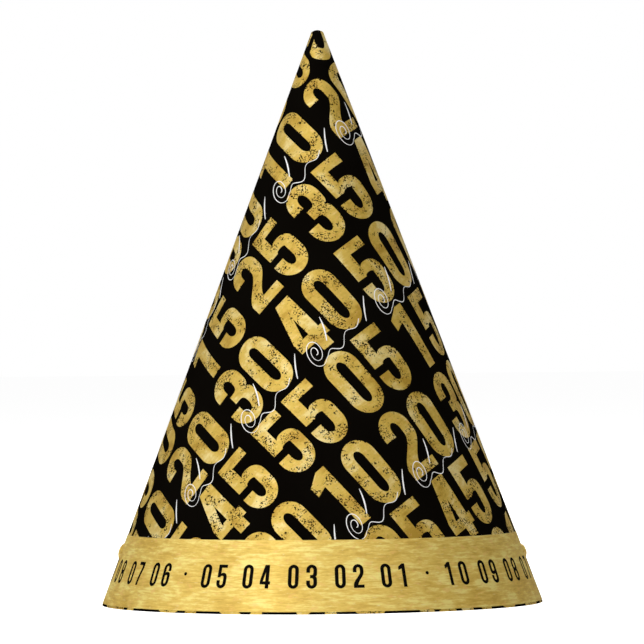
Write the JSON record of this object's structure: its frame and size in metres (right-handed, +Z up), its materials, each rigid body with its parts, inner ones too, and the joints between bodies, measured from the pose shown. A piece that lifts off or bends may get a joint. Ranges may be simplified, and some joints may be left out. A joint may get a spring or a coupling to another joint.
{
  "type": "paper party hat",
  "caption": "Conical card party hat with a foil band round its base, die-cut strap anchors and an elastic chin strap folded inside.",
  "frame": {"origin": "centre of the base rim, on the plane the hat stands on", "axes": "+Z up towards the tip, -Y the front, +Y the glued seam, the strap's anchors at -X and +X"},
  "size_m": [0.127, 0.1275, 0.1652],
  "materials": {
    "printed_card": "satin black printed card with gold-leaf numerals, white card inside",
    "gold_foil_paper": "brushed gold foil paper with black printed numbers",
    "adhesive_strip": "clear double-sided adhesive",
    "t_end_brass": "stamped, bright",
    "elastic": "round braided elastic, white"
  },
  "bodies": {
    "cone": {"cone_card": "printed_card", "gold_band": "gold_foil_paper", "seam_tape": "adhesive_strip", "left_t_end": "t_end_brass", "right_t_end": "t_end_brass"},
    "left_flap": {"left_tongue": "gold_foil_paper"},
    "right_flap": {"right_tongue": "gold_foil_paper"},
    "strap": {"elastic_strap": "elastic"}
  },
  "joints": [
    {"name": "strap_swing", "type": "hinge", "parent": "cone", "child": "strap", "pos_m": [0, 0, 0.01545], "axis": [-1, 0, 0], "range_deg": [0, 153]},
    {"name": "left_tongue_fold", "type": "hinge", "parent": "cone", "child": "left_flap", "pos_m": [-0.05875, 0, 0.013], "axis": [0, -1, 0], "range_deg": [0, 55]},
    {"name": "right_tongue_fold", "type": "hinge", "parent": "cone", "child": "right_flap", "pos_m": [0.0589, 0, 0.0126], "axis": [0, 1, 0], "range_deg": [0, 55]}
  ]
}
